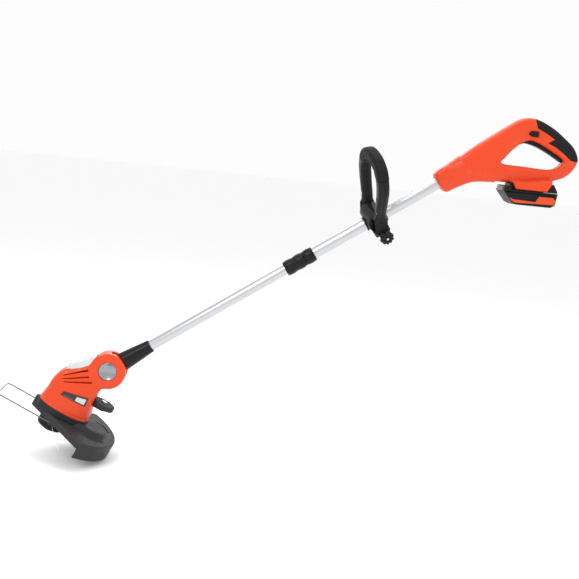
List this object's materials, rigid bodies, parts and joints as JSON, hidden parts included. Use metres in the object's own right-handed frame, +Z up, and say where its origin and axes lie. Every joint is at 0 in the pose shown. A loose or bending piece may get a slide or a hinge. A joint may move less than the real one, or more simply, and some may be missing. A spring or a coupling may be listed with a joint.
{
  "type": "string trimmer",
  "caption": "Cordless string trimmer: tilting head with fan guard and bump-feed spool, telescopic shaft, adjustable loop handle and D-shaped rear handle with slide-on battery.",
  "frame": {"origin": "middle of the bump cap's face, on the spool's axis", "axes": "+Z up, square to the battery's flat base; +X towards the rear handle; +Y to the tool's right"},
  "size_m": [1.1493, 0.2334, 0.7973],
  "materials": {
    "orange_plastic": "gloss",
    "steel_screws": "satin",
    "soft_grip": "matt",
    "dark_plastic": "matt",
    "black_plastic": "satin",
    "tube_aluminium": "satin anodised",
    "nylon": "matt",
    "black_gloss": "semi-gloss",
    "battery_black": "satin",
    "battery_orange": "gloss",
    "cell_wrap": "gloss",
    "brass_contacts": "satin",
    "release_grey": "satin",
    "knob_black": "satin",
    "lead_rubber": "matt",
    "pivot_silver": "satin",
    "cover_white": "gloss",
    "badge_black": "gloss",
    "motor_steel": "satin",
    "guard_plastic": "fine grain",
    "cutter_steel": "ground",
    "wheel_plastic": "ribbed",
    "wire_steel": "zinc plated",
    "spool_black": "satin",
    "line_nylon": "translucent nylon"
  },
  "bodies": {
    "handle": {"handle_shell_left": "orange_plastic", "handle_shell_right": "orange_plastic", "handle_screws": "steel_screws", "rear_grip_cover": "soft_grip", "trigger_switch": "dark_plastic", "terminal_block": "black_plastic", "trigger_pin": "steel_screws", "upper_tube": "tube_aluminium", "collar_base": "black_plastic", "lock_collet": "nylon"},
    "trigger": {"trigger_lever": "black_gloss"},
    "lock_off": {"lock_off_button": "black_gloss"},
    "battery": {"battery_case_upper": "battery_black", "battery_case_lower": "battery_black", "battery_band": "battery_orange", "battery_cells": "cell_wrap", "battery_terminals": "brass_contacts"},
    "battery_latch": {"battery_release": "release_grey"},
    "liner": {"clamp_liner": "black_plastic"},
    "clamp": {"clamp_upper_half": "black_gloss", "clamp_lower_half": "black_gloss", "clamp_bolt": "steel_screws"},
    "knob": {"clamp_knob": "knob_black"},
    "loop": {"loop_front_shell": "black_gloss", "loop_rear_shell": "black_gloss", "loop_screws": "steel_screws", "loop_soft_grip": "soft_grip", "loop_hub_caps": "dark_plastic"},
    "collar": {"collar_nut": "black_plastic"},
    "bush": {"guide_bush": "nylon"},
    "lower_shaft": {"lower_tube": "tube_aluminium", "coiled_lead": "lead_rubber", "shaft_socket": "black_gloss", "socket_screw": "steel_screws", "index_plate": "steel_screws"},
    "head": {"pivot_axle": "steel_screws", "pivot_cap": "pivot_silver", "button_spring": "steel_screws", "head_shell_left": "orange_plastic", "head_shell_right": "orange_plastic", "head_top_cover": "cover_white", "head_screws": "steel_screws", "side_badges": "badge_black", "motor_can": "motor_steel", "motor_endcap": "dark_plastic", "head_base": "black_plastic", "guard": "guard_plastic", "guard_screws": "steel_screws", "line_cutter": "cutter_steel", "wheel_bracket": "black_plastic", "wheel_axle": "steel_screws"},
    "pivot_button": {"pivot_button": "pivot_silver"},
    "wheel": {"edge_wheel": "wheel_plastic"},
    "bail": {"bail_wire": "wire_steel"},
    "spool": {"motor_shaft": "motor_steel", "spool_housing": "spool_black", "cutting_line": "line_nylon"},
    "bump": {"spool_reel": "dark_plastic", "line_coil": "line_nylon", "bump_cap": "spool_black"}
  },
  "joints": [
    {"name": "trigger_pull", "type": "hinge", "parent": "handle", "child": "trigger", "pos_m": [0.92838, 0, 0.69871], "axis": [0, -1, 0], "range_deg": [0, 7], "stiffness_Nm_per_rad": 0.5},
    {"name": "lock_off_push", "type": "slide", "parent": "handle", "child": "lock_off", "axis": [0, 1, 0], "range_m": [0, 0.003], "stiffness_N_per_m": 200},
    {"name": "battery_slide", "type": "slide", "parent": "handle", "child": "battery", "axis": [-1, 0, 0], "range_m": [0, 0.03]},
    {"name": "battery_latch_press", "type": "slide", "parent": "battery", "child": "battery_latch", "axis": [1, 0, 0], "range_m": [0, 0.003], "stiffness_N_per_m": 300},
    {"name": "aux_slide", "type": "slide", "parent": "handle", "child": "liner", "axis": [0.8161, 0, 0.5779], "range_m": [-0.115, 0.12]},
    {"name": "aux_turn", "type": "hinge", "parent": "liner", "child": "clamp", "pos_m": [0.64233, 0, 0.50888], "axis": [0.8161, 0, 0.5779], "range_deg": [-45, 45]},
    {"name": "aux_lean", "type": "hinge", "parent": "clamp", "child": "loop", "pos_m": [0.63882, -0.0035, 0.51383], "axis": [-0.2889, 0.866, 0.4081], "range_deg": [-50, 30]},
    {"name": "knob_turn", "type": "hinge", "parent": "clamp", "child": "knob", "pos_m": [0.66553, -0.03455, 0.47611], "axis": [0.2889, -0.866, -0.4081], "continuous": true},
    {"name": "collar_twist", "type": "hinge", "parent": "handle", "child": "collar", "pos_m": [0.48563, 0, 0.39793], "axis": [0.8161, 0, 0.5779], "range_deg": [0, 90]},
    {"name": "telescope_slide", "type": "slide", "parent": "handle", "child": "bush", "axis": [0.8161, 0, 0.5779], "range_m": [0, 0.22]},
    {"name": "edging_turn", "type": "hinge", "parent": "bush", "child": "lower_shaft", "pos_m": [0.52644, 0, 0.42683], "axis": [0.8161, 0, 0.5779], "range_deg": [0, 180]},
    {"name": "head_tilt", "type": "hinge", "parent": "lower_shaft", "child": "head", "pos_m": [0.11837, 0, 0.1379], "axis": [0, 1, 0], "range_deg": [-24, 24]},
    {"name": "pivot_button_press", "type": "slide", "parent": "head", "child": "pivot_button", "axis": [0, 1, 0], "range_m": [0, 0.004], "stiffness_N_per_m": 800},
    {"name": "wheel_spin", "type": "hinge", "parent": "head", "child": "wheel", "pos_m": [0.11108, 0, 0.06075], "axis": [0.4226, 0, 0.9063], "continuous": true},
    {"name": "bail_slide", "type": "slide", "parent": "head", "child": "bail", "axis": [0.9063, 0, -0.4226], "range_m": [0, 0.055]},
    {"name": "spool_spin", "type": "hinge", "parent": "head", "child": "spool", "pos_m": [0.00845, 0, 0.01813], "axis": [0.4226, 0, 0.9063], "continuous": true},
    {"name": "bump_press", "type": "slide", "parent": "spool", "child": "bump", "axis": [0.4226, 0, 0.9063], "range_m": [0, 0.004], "stiffness_N_per_m": 1500}
  ]
}
